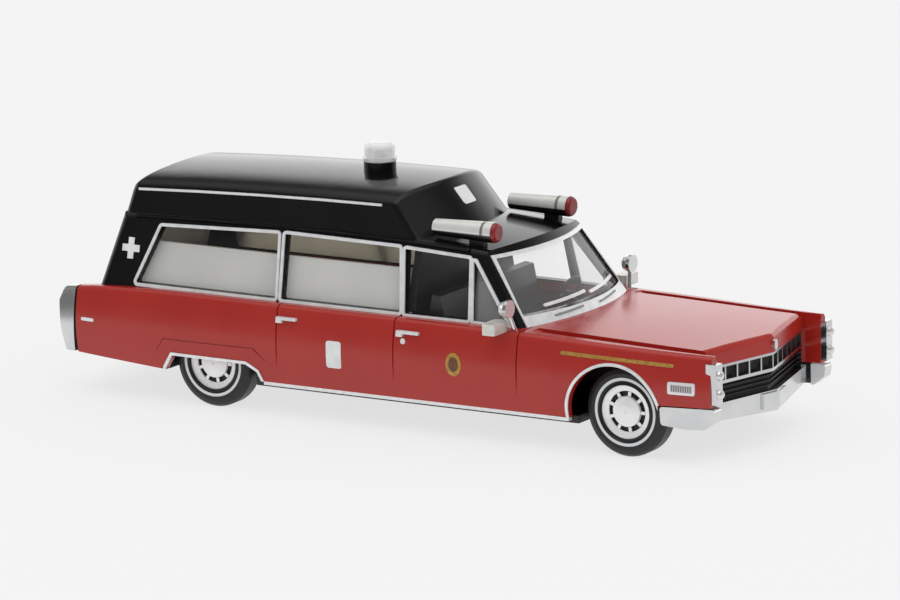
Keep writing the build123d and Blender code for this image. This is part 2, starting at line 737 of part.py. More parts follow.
# Inside
with BuildPart() as cabin_floor:
    with BuildSketch(Plane.XY.offset(FLOOR_Z)):
        with BuildLine():
            Polyline(
                (FLOOR_REAR_X, -NARROW_Y),
                (WIDE_REAR_X, -NARROW_Y),
                (WIDE_REAR_X, -WIDE_Y),
                (FIREWALL_X + FIREWALL_T, -WIDE_Y),
                (FIREWALL_X + FIREWALL_T, WIDE_Y),
                (WIDE_REAR_X, WIDE_Y),
                (WIDE_REAR_X, NARROW_Y),
                (FLOOR_REAR_X, NARROW_Y),
                close=True,
            )
        make_face()
    extrude(amount=FLOOR_T)
    with BuildSketch(Plane.YZ.offset(FIREWALL_X)):
        with Locations((0, (FLOOR_Z + FIREWALL_TOP) / 2)):
            Rectangle(2 * WIDE_Y, FIREWALL_TOP - FLOOR_Z)
    extrude(amount=FIREWALL_T)
save(cabin_floor, "cabin_floor")
with BuildPart() as front_seat:
    with BuildSketch(Plane.XZ):
        with BuildLine():
            Polyline(*SEAT_SIDE, close=True)
        make_face()
    extrude(amount=SEAT_HALF, both=True)
save(front_seat, "front_seat")
with BuildPart() as dashboard:
    with BuildSketch(Plane.XZ):
        with BuildLine():
            Polyline(*DASH_SIDE, close=True)
        make_face()
    extrude(amount=DASH_HALF, both=True)
save(dashboard, "dashboard")
with BuildPart() as steering_wheel:
    with Locations(Location(WHEEL_AT, (0, WHEEL_TILT, 0))):
        Torus(WHEEL_R, WHEEL_TUBE)
        Box(WHEEL_SPOKE[0], 2 * WHEEL_R, WHEEL_SPOKE[1])
        Cylinder(*WHEEL_HUB)
        Cylinder(COLUMN_R, COLUMN_L, align=(Align.CENTER, Align.CENTER, Align.MAX))
    add(dashboard.part, mode=Mode.SUBTRACT)
save(steering_wheel, "steering_wheel")
with BuildPart() as partition:
    add(house_form(ROOF_WALL))
    with Locations((PARTITION_X + PARTITION_T / 2, 0, (PARTITION_STEP_Z + PARTITION_TOP) / 2)):
        Box(PARTITION_T, 2 * REACH, PARTITION_TOP - PARTITION_STEP_Z, mode=Mode.INTERSECT)
    with Locations((PARTITION_X + PARTITION_T / 2, 0, (SEAT_Z + PARTITION_STEP_Z) / 2)):
        Box(PARTITION_T, 2 * PARTITION_HALF, PARTITION_STEP_Z - SEAT_Z)
save(partition, "partition")
with BuildPart() as patient_cot:
    for ahead, length, width, foot, height in COT_BLOCKS:
        with Locations((COT_X + ahead, COT_Y, SEAT_Z + foot + height / 2)):
            Box(length, width, height)
save(patient_cot, "patient_cot")

# Chassis plate
with BuildPart() as chassis:
    add(body_form(WALL + FIT, OPEN_DROP))
    add(across(PLATE_SIDE), mode=Mode.INTERSECT)
    add(nose_band(BUMPER_BACK, BUMPER_BACK + TONGUE_L, TONGUE_HALF, TONGUE_LOW_Z, TONGUE_TOP_Z))
    for axle_x in (FRONT_AXLE_X, REAR_AXLE_X):
        for side in (-1, 1):
            with Locations((axle_x, side * (WELL_IN_Y + WELL_W / 2), TYRE_R)):
                Box(2 * WELL_HALF_L, WELL_W, WELL_H, mode=Mode.SUBTRACT)
            with Locations((axle_x, side * BEARING_Y, (PLATE_LOW_Z + FLOOR_Z) / 2)):
                Box(BEARING_L, BEARING_W, FLOOR_Z - PLATE_LOW_Z)
        with Locations(Location((axle_x, 0, TYRE_R), (90, 0, 0))):
            Cylinder(AXLE_R + AXLE_GAP, 2 * REACH, mode=Mode.SUBTRACT)
    for rear_x, front_x, middle_y, width in RELIEFS:
        with Locations(((rear_x + front_x) / 2, middle_y, (RELIEF_LOW_Z + PLATE_LOW_Z) / 2)):
            Box(front_x - rear_x, width, PLATE_LOW_Z - RELIEF_LOW_Z)
    for rear_x, front_x, middle_y in PIPES:
        with Locations(Location(((rear_x + front_x) / 2, middle_y, PLATE_LOW_Z), (0, 90, 0))):
            Cylinder(PIPE_R, front_x - rear_x)
    with Locations((0, 0, (PAD_LOW_Z + PLATE_LOW_Z) / 2)):
        Box(PAD_L, PAD_W, PLATE_LOW_Z - PAD_LOW_Z)
save(chassis, "chassis")

# Wheels: one axle with two tyres and two rims turns as one piece
for end, axle_x in (("front", FRONT_AXLE_X), ("rear", REAR_AXLE_X)):
    for hand, side in (("right", -1), ("left", 1)):
        with BuildPart() as tyre:
            add(turned(TYRE_FACE, axle_x, side))
        save(tyre, end + "_" + hand + "_tyre")
        with BuildPart() as rim:
            add(turned(RIM_FACE, axle_x, side))
            slot_floor = (axle_x, side * SLOT_FLOOR_Y, TYRE_R)
            with BuildSketch(Plane(origin=slot_floor, x_dir=(1, 0, 0), z_dir=(0, side, 0))):
                with PolarLocations((SLOT_IN_R + SLOT_OUT_R) / 2, SPOKES):
                    Rectangle(SLOT_OUT_R - SLOT_IN_R + FIT, SPOKE_W)
            extrude(amount=SPOKE_H)
        save(rim, end + "_" + hand + "_rim")
    with BuildPart() as axle:
        with Locations(Location((axle_x, 0, TYRE_R), (90, 0, 0))):
            Cylinder(AXLE_R, 2 * RIM_IN_Y)
    save(axle, end + "_axle")

# Bumpers: the front bar follows the nose between two end pods that turn round the corners
end_form = common(body_form(FIT, OPEN_DROP), across(END_POD, END_ROUND))
with BuildPart() as end_pods:
    add(end_form)
    with BuildSketch(Plane.YZ.offset(END_FACE_X)):
        Rectangle(2 * REACH, 2 * REACH)
    extrude(amount=AHEAD, mode=Mode.INTERSECT)
    add(between(end_form, body_form(FIT + END_T, 2 * OPEN_DROP)))
    Box(FAR, 2 * GRILLE_HALF, FAR, mode=Mode.SUBTRACT)
with BuildPart() as front_bumper:
    add(nose_band(-BUMPER_PROUD, BUMPER_BACK, GRILLE_HALF, 0, REACH))
    add(along(BAR_FRONT, (0, FAR)), mode=Mode.INTERSECT)
    add(nose_band(-BUMPER_PROUD - GUARD_T, -BUMPER_PROUD, GUARD_HALF, GUARD_LOW_Z, GUARD_TOP_Z))
    add(end_pods.part)
save(front_bumper, "front_bumper")
with BuildPart() as rear_bumper:
    add(body_form(0, OPEN_DROP))
    add(across(TAIL_POD), mode=Mode.INTERSECT)
    Box(FAR, 2 * FIN_IN_Y, FAR, mode=Mode.SUBTRACT)
    with Locations((BAR_REAR_X + BAR_L / 2, 0, BAR_Z)):
        Box(BAR_L, 2 * FIN_IN_Y, BAR_H)
save(rear_bumper, "rear_bumper")
with BuildPart() as tail_seals:
    add(body_form(SEAL_SET, 0))
    with BuildSketch(Plane.YZ.offset(POD_X)):
        Rectangle(2 * REACH, 2 * REACH)
    extrude(amount=SEAL_T, mode=Mode.INTERSECT)
    add(across(REAR_LOW), mode=Mode.SUBTRACT)
    Box(FAR, 2 * FIN_IN_Y, FAR, mode=Mode.SUBTRACT)
save(tail_seals, "tail_seals")
with BuildPart() as number_plate:
    with Locations((BAR_REAR_X - SIGN_T / 2, 0, BAR_Z)):
        Box(SIGN_T, 2 * SIGN_HALF, SIGN_H)
save(number_plate, "number_plate")

# Grille: bright bars over a dark back, whose lower row has dark bars of its own
with BuildPart() as grille:
    add(nose_band(GRILLE_SET, GRILLE_SET + GRILLE_T, GRILLE_HALF, GRILLE_LOW_Z, GRILLE_TOP_Z))
    with BuildSketch(Plane.YZ):
        for z, height in GRILLE_BARS:
            with Locations((0, z)):
                Rectangle(2 * GRILLE_HALF, height)
        upper_low, upper_top = GRILLE_BARS[1][0], GRILLE_BARS[0][0]
        with Locations((0, (upper_low + upper_top) / 2)):
            with GridLocations(GRILLE_PITCH, 0, GRILLE_CELLS - 1, 1):
                Rectangle(GRILLE_BAR_W, upper_top - upper_low)
        for side in (-1, 1):
            with Locations((side * (GRILLE_HALF - GRILLE_END_W / 2), (GRILLE_LOW_Z + GRILLE_TOP_Z) / 2)):
                Rectangle(GRILLE_END_W, GRILLE_TOP_Z - GRILLE_LOW_Z)
    extrude(amount=FAR, mode=Mode.INTERSECT)
save(grille, "grille")
with BuildPart() as grille_backing:
    add(nose_band(GRILLE_SET + GRILLE_T / 2, GRILLE_SET + GRILLE_T, GRILLE_HALF, GRILLE_LOW_Z, GRILLE_TOP_Z))
    with BuildSketch(Plane.YZ):
        for z in MESH_HEIGHTS:
            with Locations((0, z)):
                Rectangle(2 * (GRILLE_HALF - GRILLE_END_W), MESH_H)
    extrude(amount=FAR, mode=Mode.INTERSECT)
    add(nose_band(GRILLE_SET + GRILLE_T, GRILLE_DEEP, GRILLE_HALF, GRILLE_LOW_Z, GRILLE_TOP_Z))
save(grille_backing, "grille_backing")

# Headlamps and the nose ornament
with BuildPart() as headlamp_bezels:
    for side in (-1, 1):
        with BuildSketch(Plane.YZ.offset(BEZEL_BACK_X)):
            with Locations((side * LAMP_Y, (BEZEL_LOW_Z + BEZEL_TOP_Z) / 2)):
                Rectangle(2 * BEZEL_HALF, BEZEL_TOP_Z - BEZEL_LOW_Z)
        extrude(amount=BEZEL_T)
        with BuildSketch(Plane.YZ.offset(BEZEL_FRONT_X)):
            for z in LAMP_HEIGHTS:
                with Locations((side * LAMP_Y, z)):
                    Circle(LAMP_R)
        extrude(amount=-LAMP_SET, mode=Mode.SUBTRACT)
save(headlamp_bezels, "headlamp_bezels")
with BuildPart() as headlamp_lenses:
    for side in (-1, 1):
        for z in LAMP_HEIGHTS:
            add(bowl(LENS_FACE, (BEZEL_FRONT_X - LAMP_SET, side * LAMP_Y, z)))
save(headlamp_lenses, "headlamp_lenses")
with BuildPart() as nose_ornament:
    with BuildSketch(Plane.YZ.offset(GRILLE_MID_X + ORNAMENT_PROUD)):
        with Locations((0, ORNAMENT_Z)):
            Ellipse(ORNAMENT_HALF_W, ORNAMENT_HALF_H)
    extrude(amount=-GRILLE_DEEP)
    add(body_shell.part, mode=Mode.SUBTRACT)
save(nose_ornament, "nose_ornament")

# Tail lamps, cornering lamps, door handles and the bright lips on the lower body
with BuildPart() as tail_lamps:
    for side in (-1, 1):
        add(outlined(Plane.XZ.offset(-side * TAIL_LENS_Y), TAIL_LENS, 0, 0, TAIL_LENS_HALF, both=True))
    add(rear_bumper.part, mode=Mode.SUBTRACT)
save(tail_lamps, "tail_lamps")
with BuildPart() as cornering_lamps:
    add(common(body_skin, across(CORNER_LAMP, CORNER_LAMP_R)))
save(cornering_lamps, "cornering_lamps")
with BuildPart() as door_handles:
    for rear_x, front_x in HANDLES:
        low_z, top_z = HANDLE_Z - HANDLE_H / 2, HANDLE_Z + HANDLE_H / 2
        add(across(((rear_x, low_z), (front_x, low_z), (front_x, top_z), (rear_x, top_z))))
        button_x, button_z = rear_x + BUTTON_L, top_z - BUTTON_H
        add(across(((rear_x, button_z), (button_x, button_z), (button_x, top_z), (rear_x, top_z))))
    add(between(body_form(-HANDLE_PROUD, 0), body_outside), mode=Mode.INTERSECT)
    with Locations(DOOR_PULL_AT):
        Box(*DOOR_PULL)
    add(body_shell.part, mode=Mode.SUBTRACT)
save(door_handles, "door_handles")
with BuildPart() as front_lips:
    add(body_skin)
    with BuildSketch(Plane.XZ):
        with Locations((ARCH_X, ARCH_Z)):
            Circle(ARCH_R + ARCH_LIP)
            Circle(ARCH_R, mode=Mode.SUBTRACT)
    extrude(amount=REACH, both=True, mode=Mode.INTERSECT)
    add(across(FRONT_LOW), mode=Mode.SUBTRACT)
with BuildPart() as arch_mouldings:
    add(front_lips.part)
    add(common(body_skin, between(across(REAR_ARCH, 0, ARCH_LIP), across(REAR_ARCH))))
save(arch_mouldings, "arch_mouldings")
with BuildPart() as sill_mouldings:
    for side in (-1, 1):
        with Locations(((SILL_FRONT_X + SILL_REAR_X) / 2, side * SILL_Y, (SILL_LOW_Z + SILL_Z) / 2)):
            Box(SILL_FRONT_X - SILL_REAR_X, SILL_W, SILL_Z - SILL_LOW_Z)
save(sill_mouldings, "sill_mouldings")

# Roof fittings
with BuildPart() as rain_rails:
    add(between(house_form(-RAIL_PROUD), house_outside))
    add(ribbon(RAIL, RAIL_H), mode=Mode.INTERSECT)
    Box(FAR, 2 * RAIL_IN_Y, FAR, mode=Mode.SUBTRACT)
    add(raise_outside, mode=Mode.SUBTRACT)
    add(window_frames.part, mode=Mode.SUBTRACT)
save(rain_rails, "rain_rails")
with BuildPart() as roof_plaque:
    add(between(raise_form(-PLAQUE_T), raise_outside))
    add(along(PLAQUE, PLAQUE_X, PLAQUE_R), mode=Mode.INTERSECT)
save(roof_plaque, "roof_plaque")
with BuildPart() as roof_mouldings:
    add(between(raise_form(-TRIM_PROUD), raise_outside))
    add(ribbon(MOULDING, MOULDING_H), mode=Mode.INTERSECT)
    Box(FAR, 2 * MOULDING_IN_Y, FAR, mode=Mode.SUBTRACT)
save(roof_mouldings, "roof_mouldings")
with BuildPart() as roof_lamp_tubes:
    for side in (-1, 1):
        with Locations((FOOT_X, side * TUBE_Y, TUBE_Z - FOOT_H / 2)):
            Box(FOOT_L, FOOT_W, FOOT_H)
    add(house_outside, mode=Mode.SUBTRACT)
    for side in (-1, 1):
        with Locations(Location(((TUBE_REAR_X + TUBE_FRONT_X) / 2, side * TUBE_Y, TUBE_Z), (0, 90, 0))):
            Cone(TUBE_REAR_R, TUBE_FRONT_R, TUBE_FRONT_X - TUBE_REAR_X)
save(roof_lamp_tubes, "roof_lamp_tubes")
with BuildPart() as roof_lamp_lenses:
    for side in (-1, 1):
        with Locations(Location((TUBE_FRONT_X, side * TUBE_Y, TUBE_Z), (0, 90, 0))):
            Cylinder(TUBE_LENS_R, TUBE_LENS_T, align=(Align.CENTER, Align.CENTER, Align.MIN))
    fillet(roof_lamp_lenses.edges().group_by(Axis.X)[-1], TUBE_LENS_ROUND)
save(roof_lamp_lenses, "roof_lamp_lenses")
with BuildPart() as beacon_base:
    with Locations((BEACON_X, 0, BEACON_STEP_Z)):
        Cylinder(BEACON_BASE_R, BEACON_BASE_H, align=(Align.CENTER, Align.CENTER, Align.MAX))
    add(raise_outside, mode=Mode.SUBTRACT)
save(beacon_base, "beacon_base")
with BuildPart() as beacon_dome:
    with Locations((BEACON_X, 0, BEACON_STEP_Z)):
        Cylinder(BEACON_R, BEACON_TOP_Z - BEACON_STEP_Z, align=(Align.CENTER, Align.CENTER, Align.MIN))
        fillet(beacon_dome.edges().group_by(Axis.Z)[-1], BEACON_ROUND)
        Cylinder(FLANGE_R, FLANGE_H, align=(Align.CENTER, Align.CENTER, Align.MIN))
        Cylinder(
            BEACON_R - DOME_T, DOME_HOLLOW_H, align=(Align.CENTER, Align.CENTER, Align.MIN), mode=Mode.SUBTRACT
        )
save(beacon_dome, "beacon_dome")
with BuildPart() as beacon_lamp:
    with Locations((BEACON_X, 0, BEACON_STEP_Z)):
        Cylinder(BULB_R, BULB_H, align=(Align.CENTER, Align.CENTER, Align.MIN))
save(beacon_lamp, "beacon_lamp")

# Door mirrors and spot lamps
with BuildPart() as mirror_heads:
    for side in (-1, 1):
        with Locations(sided(MIRROR_AT, side)):
            Box(*MIRROR_SIZE)
    fillet(mirror_heads.edges().filter_by(Axis.Z), MIRROR_ROUND)
with BuildPart() as door_mirrors:
    for side in (-1, 1):
        add(stalk(sided(MIRROR_FOOT, side), sided(MIRROR_AT, side)))
    add(mirror_heads.part)
    add(body_outside, mode=Mode.SUBTRACT)
save(door_mirrors, "door_mirrors")
with BuildPart() as spot_lamps:
    for side in (-1, 1):
        add(stalk(sided(SPOT_FOOT, side), sided(SPOT_AT, side)))
        add(bowl(SPOT_BOWL, sided(SPOT_AT, side)))
    add(body_outside, mode=Mode.SUBTRACT)
    add(house_outside, mode=Mode.SUBTRACT)
    add(windscreen_frame.part, mode=Mode.SUBTRACT)
    add(window_frames.part, mode=Mode.SUBTRACT)
save(spot_lamps, "spot_lamps")
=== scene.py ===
# %% [markdown]
# # A small red and black ambulance model
#
# The object is a moulded model car about as long as a thumb: a red body, a black raised
# roof, clear panes, and trim that is plated or printed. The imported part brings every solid
# piece in its place, and nothing here moves or reshapes one. This lesson paints the pieces,
# lays the thin printed details on them, and builds a plain bright studio round the model.

import json
import math

import bmesh
import bpy
from mathutils import Matrix, Vector
from mathutils.bvhtree import BVHTree


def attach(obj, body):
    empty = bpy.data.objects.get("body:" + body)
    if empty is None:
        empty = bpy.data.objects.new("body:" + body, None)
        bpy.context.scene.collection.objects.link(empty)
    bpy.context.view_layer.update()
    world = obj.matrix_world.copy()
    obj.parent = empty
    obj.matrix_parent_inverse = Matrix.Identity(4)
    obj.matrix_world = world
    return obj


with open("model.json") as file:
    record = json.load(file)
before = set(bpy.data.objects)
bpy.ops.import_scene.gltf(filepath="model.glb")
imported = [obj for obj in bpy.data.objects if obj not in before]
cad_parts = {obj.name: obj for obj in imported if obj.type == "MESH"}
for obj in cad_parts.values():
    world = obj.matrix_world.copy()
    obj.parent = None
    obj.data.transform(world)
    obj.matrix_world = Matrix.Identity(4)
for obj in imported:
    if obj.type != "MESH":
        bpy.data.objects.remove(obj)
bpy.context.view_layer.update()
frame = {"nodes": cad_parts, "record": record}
nodes = frame["nodes"]
MM = 0.001

# %% [markdown]
# ## Shader sums in plain Python
#
# A finish is a graph of small nodes: one adds, one multiplies, one makes noise. Placing and
# linking them one at a time hides the idea, so `node` adds any node in one call, and `Sock`
# wraps an output with the usual operators: `1.0 - mask` adds its own Math node. Colours go
# through a Mix node instead, because a Math node would turn them grey.

# %% Wrap shader sockets


def node(tree, kind, inputs=(), output=0, **settings):
    """Adds a node, gives it its settings, and then its sockets' values or links."""
    made = tree.nodes.new(kind)
    for name, value in settings.items():
        setattr(made, name, value)
    places = inputs.items() if isinstance(inputs, dict) else enumerate(inputs)
    for place, value in places:
        if isinstance(value, Sock):
            value.into(made.inputs[place])
        else:
            made.inputs[place].default_value = value
    return Sock(tree, made.outputs[output])


def rgba(colour):
    """A colour as a socket wants it, with its fourth value."""
    return (*colour, 1.0)


class Sock:
    """One output of a shader node, with ordinary arithmetic."""

    def __init__(self, tree, out):
        self.tree = tree
        self.out = out

    def into(self, socket):
        self.tree.links.new(self.out, socket)

    def maths(self, operation, *inputs):
        return node(self.tree, "ShaderNodeMath", inputs, operation=operation)

    def __add__(self, other):
        return self.maths("ADD", self, other)

    def __radd__(self, other):
        return self.maths("ADD", other, self)

    def __sub__(self, other):
        return self.maths("SUBTRACT", self, other)

    def __rsub__(self, other):
        return self.maths("SUBTRACT", other, self)

    def __mul__(self, other):
        return self.maths("MULTIPLY", self, other)

    def __rmul__(self, other):
        return self.maths("MULTIPLY", other, self)

    def __abs__(self):
        return self.maths("ABSOLUTE", self)

    def ripple(self, rate):
        """A sine wave along this value."""
        return self.maths("SINE", self * rate)

    def larger(self, other):
        return self.maths("MAXIMUM", self, other)

    def step(self, low, high):
        """Rises smoothly from 0 at low to 1 at high."""
        ends = (self, low, high, 0.0, 1.0)
        return node(self.tree, "ShaderNodeMapRange", ends, interpolation_type="SMOOTHSTEP")

    def within(self, low, high, soft):
        """1 between two values and 0 outside them, with soft edges."""
        return self.step(low - soft, low + soft) * (1.0 - self.step(high - soft, high + soft))

    def mix(self, first, second):
        """The first colour where this is 0 and the second where it is 1."""
        pair = [c if isinstance(c, Sock) else rgba(c) for c in (first, second)]
        sockets = {0: self, 6: pair[0], 7: pair[1]}  # the colours' own sockets of a Mix node
        return node(self.tree, "ShaderNodeMix", sockets, output=2, data_type="RGBA")

    def axes(self):
        """The x, y and z of a vector."""
        parts = node(self.tree, "ShaderNodeSeparateXYZ", (self,)).out.node
        return [Sock(self.tree, out) for out in parts.outputs]


print("sockets wrapped")

# %% [markdown]
# ## A start for every finish
#
# Moulded plastic, plating and paint are never one flat colour: tone and gloss drift a
# little, and paint dries with a fine waviness called peel. An image could carry that, but
# noise needs no file and no unwrapping. `Look` starts a Principled material that knows the
# place on the object in millimetres, and `coloured` lets it drift between two close tones.

# %% Start materials
PER_MM = (1 / MM, 1 / MM, 1 / MM)
COAT_ROUGHNESS = 0.03
NOISE_DETAIL = 2.0
materials = {}


class Look:
    """A Principled material with the object's place in millimetres at hand."""

    def __init__(self, name, roughness, metallic=0.0, coat=0.0, specular=0.5):
        self.material = materials[name] = bpy.data.materials.new(name)
        self.material.use_nodes = True
        self.tree = self.material.node_tree
        self.shader = self.tree.nodes["Principled BSDF"]
        self.shader.inputs["Roughness"].default_value = roughness
        self.shader.inputs["Metallic"].default_value = metallic
        self.shader.inputs["Coat Weight"].default_value = coat
        self.shader.inputs["Coat Roughness"].default_value = COAT_ROUGHNESS
        self.shader.inputs["Specular IOR Level"].default_value = specular
        metres = node(self.tree, "ShaderNodeTexCoord", output="Object")
        scaled = (metres, PER_MM)
        self.place = node(self.tree, "ShaderNodeVectorMath", scaled, operation="MULTIPLY")
        self.x, self.y, self.z = self.place.axes()

    def grain(self, size):
        """Noise between 0 and 1 with grains of about this many millimetres."""
        noise = {"Vector": self.place, "Scale": 1.0 / size, "Detail": NOISE_DETAIL}
        return node(self.tree, "ShaderNodeTexNoise", noise)

    def set(self, name, value):
        """Feeds one of the shader's inputs with a varying value."""
        value.into(self.shader.inputs[name])

    def bump(self, height, strength, depth):
        """Raises the surface by a varying height, at most depth millimetres."""
        raised = {"Strength": strength, "Distance": depth * MM, "Height": height}
        self.set("Normal", node(self.tree, "ShaderNodeBump", raised))

    def cover(self, shader):
        """Makes a shader the material's surface."""
        shader.into(self.tree.nodes["Material Output"].inputs["Surface"])


print("a material can be started")

# %% Let a finish drift
TONE_LOW = 0.3
TONE_HIGH = 0.7
GLOSS_DRIFT = 0.3
PEEL_GRAIN = 0.25
PEEL_STRENGTH = 0.25


def coloured(name, dark, light, grain, roughness, peel=0.0, **finish):
    """A finish whose colour and gloss drift a little between two tones."""
    look = Look(name, roughness, **finish)
    drift = look.grain(grain)
    look.set("Base Color", drift.step(TONE_LOW, TONE_HIGH).mix(dark, light))
    mean = roughness * (1 - GLOSS_DRIFT / 2)
    look.set("Roughness", mean + drift * (roughness * GLOSS_DRIFT))
    if peel > 0:
        look.bump(look.grain(PEEL_GRAIN), PEEL_STRENGTH, peel)
    return look


print("a finish can drift, by a share of its gloss of", GLOSS_DRIFT)

# %% [markdown]
# ## Paint, plastic and bright metal
#
# The body is glossy red plastic and the roof glossy black. Bumpers, lamps and spot lamps are
# plated, so they are full metal. The window frames and mouldings are only printed in silver
# ink, which scatters more light, so they are mostly plastic with a little metal and a rough
# gloss. One table holds these finishes, because they differ in numbers and not in kind.

# %% Make the plain finishes
RED = ((0.335, 0.0150, 0.0095), (0.360, 0.0175, 0.0110))
BLACK = ((0.0028, 0.0028, 0.0030), (0.0045, 0.0045, 0.0050))
FINISHES = (  # name, dark tone, light tone, grain, roughness, peel, other sockets
    ("red_body", *RED, 6.0, 0.22, 0.004, {"coat": 0.1}),
    ("black_roof", *BLACK, 6.0, 0.13, 0.004, {"specular": 0.3}),
    ("chrome", (0.64, 0.65, 0.66), (0.71, 0.71, 0.71), 2.0, 0.16, 0.003, {"metallic": 1.0}),
    ("silver_trim", (0.72, 0.73, 0.74), (0.82, 0.83, 0.84), 0.8, 0.38, 0.006, {"metallic": 0.35}),
    ("dark_interior", (0.006, 0.006, 0.0065), (0.011, 0.011, 0.012), 1.0, 0.34, 0.02, {}),
    ("dash_top", (0.20, 0.20, 0.21), (0.27, 0.27, 0.28), 0.8, 0.5, 0.02, {}),
    ("tan_cot", (0.34, 0.27, 0.18), (0.42, 0.34, 0.23), 1.0, 0.6, 0.02, {}),
    ("black_chassis", (0.004, 0.004, 0.0045), (0.008, 0.008, 0.009), 1.0, 0.45, 0.02, {}),
    ("steel", (0.50, 0.50, 0.52), (0.58, 0.58, 0.60), 0.5, 0.3, 0.0, {"metallic": 1.0}),
    ("red_lens", (0.17, 0.012, 0.014), (0.23, 0.018, 0.020), 1.0, 0.12, 0.0, {}),
    ("white_paint", (0.62, 0.63, 0.63), (0.70, 0.71, 0.71), 0.8, 0.35, 0.0, {}),
    ("gold_paint", (0.34, 0.17, 0.030), (0.50, 0.28, 0.060), 0.25, 0.40, 0.0, {"metallic": 0.3}),
    ("oval_middle", (0.085, 0.030, 0.012), (0.16, 0.065, 0.020), 0.25, 0.40, 0.0, {}),
    ("mirror_back", (0.66, 0.66, 0.61), (0.76, 0.76, 0.73), 0.8, 0.35, 0.0, {"metallic": 0.5}),
)
for name, dark, light, grain, roughness, peel, others in FINISHES:
    coloured(name, dark, light, grain, roughness, peel, **others)
print("plain finishes:", len(FINISHES))

# %% [markdown]
# ## Clear plastic
#
# The panes are thin clear mouldings that are slightly milky, and the beacon's dome is much
# more so. A glass shader would bend the view and needs many bounces in so thin a wall, so
# each pane mixes plain transparency with some white and with a mirror that grows at a slant.
# The mirror works on outer faces only, or a pane would go dark where a ray leaves it.

# %% Make the clear plastics
PANE_ROUGHNESS = 0.04
MILK = (0.92, 0.92, 0.92)
CLOUD_GRAIN = 3.0
CLOUD_LEAST = 0.7
CLOUD_DRIFT = 0.6
VENT_X = 9.5
VENT_EDGE = 0.1


def clear(name, tint, index, haze, vent=0.0):
    """Thin clear plastic with uneven white haze, and more of it in the door's vent pane."""
    look = Look(name, PANE_ROUGHNESS)
    tree = look.tree
    tree.nodes.remove(look.shader)
    through = node(tree, "ShaderNodeBsdfTransparent", {"Color": rgba(tint)})
    milk = node(tree, "ShaderNodeBsdfDiffuse", {"Color": rgba(MILK)})
    gloss = node(tree, "ShaderNodeBsdfGlossy", {"Roughness": PANE_ROUGHNESS})
    slant = node(tree, "ShaderNodeFresnel", {"IOR": index})
    leaving = node(tree, "ShaderNodeNewGeometry", output="Backfacing")
    in_vent = look.x.step(VENT_X, VENT_X + VENT_EDGE)
    cloud = haze * CLOUD_LEAST + look.grain(CLOUD_GRAIN) * (haze * CLOUD_DRIFT) + in_vent * vent
    cloudy = node(tree, "ShaderNodeMixShader", (cloud, through, milk))
    look.cover(node(tree, "ShaderNodeMixShader", (slant * (1.0 - leaving), cloudy, gloss)))


CLEAR = (  # name, tint, index, haze, extra haze of the vent pane
    ("clear_glass", (0.985, 0.988, 0.988), 1.2, 0.006, 0.10),
    ("screen_glass", (0.992, 0.994, 0.994), 1.4, 0.05, 0.0),
    ("beacon_clear", (0.97, 0.975, 0.975), 1.45, 0.5, 0.0),
)
for row in CLEAR:
    clear(*row)
print("clear plastics:", len(CLEAR))

# %% [markdown]
# ## Blinds
#
# The blinds are thin white print behind the panes. Some daylight comes through, so their
# inner sides glow warmly. A see-through mix would show shapes behind them, so part of the
# white is swapped for a Translucent shader, which only passes light on. The rear window's
# blind lets less through.

# %% Paint the blinds
REAR_BLIND_X = -28.8
REAR_BLIND_EDGE = 0.1
REAR_BLIND_SHADE = 0.7
DAYLIGHT_LEAST = 0.40
DAYLIGHT_DRIFT = 0.1
DAYLIGHT_GRAIN = 2.0
DAYLIGHT = (0.90, 0.84, 0.72)
blind = coloured("white_blind", (0.78, 0.79, 0.79), (0.84, 0.85, 0.85), 4.0, 0.5)
at_rear = 1.0 - blind.x.step(REAR_BLIND_X - REAR_BLIND_EDGE, REAR_BLIND_X + REAR_BLIND_EDGE)
passed = DAYLIGHT_LEAST + blind.grain(DAYLIGHT_GRAIN) * DAYLIGHT_DRIFT
passed = passed * (1.0 - at_rear * REAR_BLIND_SHADE)
white_print = Sock(blind.tree, blind.shader.outputs[0])
daylight = node(blind.tree, "ShaderNodeBsdfTranslucent", {"Color": rgba(DAYLIGHT)})
blind.cover(node(blind.tree, "ShaderNodeMixShader", (passed, white_print, daylight)))
print("blinds painted")

# %% [markdown]
# ## Roof lamp tubes
#
# Each forward roof lamp is a plated tube with a darker clamp ring behind the lens. Its upper
# half is silver, and its lower half is painted black, a painted reflection of the black roof
# beneath it. The split follows a level line, so height alone can mask it, and no separate mesh
# is needed.

# %% Paint the lamp tubes
TUBE_EDGE_Z = 18.8
TUBE_EDGE = 0.06
RING_REAR_X = 9.3
RING_FRONT_X = 9.6
RING_EDGE = 0.04
TUBE_METAL = 0.4
ROOF_REFLECTION_BLACK = (0.004, 0.004, 0.004)
RING_GREY = (0.20, 0.20, 0.18)
tubes = Look("lamp_tube", 0.3)
# Below this level the tube is painted black: a painted reflection of the black roof beneath it.
silver_upper_half = tubes.z.step(TUBE_EDGE_Z - TUBE_EDGE, TUBE_EDGE_Z + TUBE_EDGE)
ring = tubes.x.within(RING_REAR_X, RING_FRONT_X, RING_EDGE)
tube_silver = tubes.grain(0.6).mix((0.66, 0.66, 0.63), (0.78, 0.78, 0.75))
tubes.set("Base Color", silver_upper_half.mix(ROOF_REFLECTION_BLACK, ring.mix(tube_silver, RING_GREY)))
tubes.set("Metallic", silver_upper_half * TUBE_METAL)
print("lamp tubes painted")

# %% [markdown]
# ## Wheels
#
# The tyres carry a printed pale ring. The plated rims have painted shade: the floors of the slots
# between their spokes and a groove inside the lip are painted near black. All of these are
# circles about an axle, so the distance from the nearer axle masks them. The axles' places come
# from the part's joints.

# %% Measure from the axles
joints = {joint["name"]: joint["pos_m"] for joint in frame["record"]["behaviour"]["joints"]}
FRONT_AXLE_X = joints["front_wheels_turn"][0] / MM
REAR_AXLE_X = joints["rear_wheels_turn"][0] / MM
AXLE_Z = joints["front_wheels_turn"][2] / MM


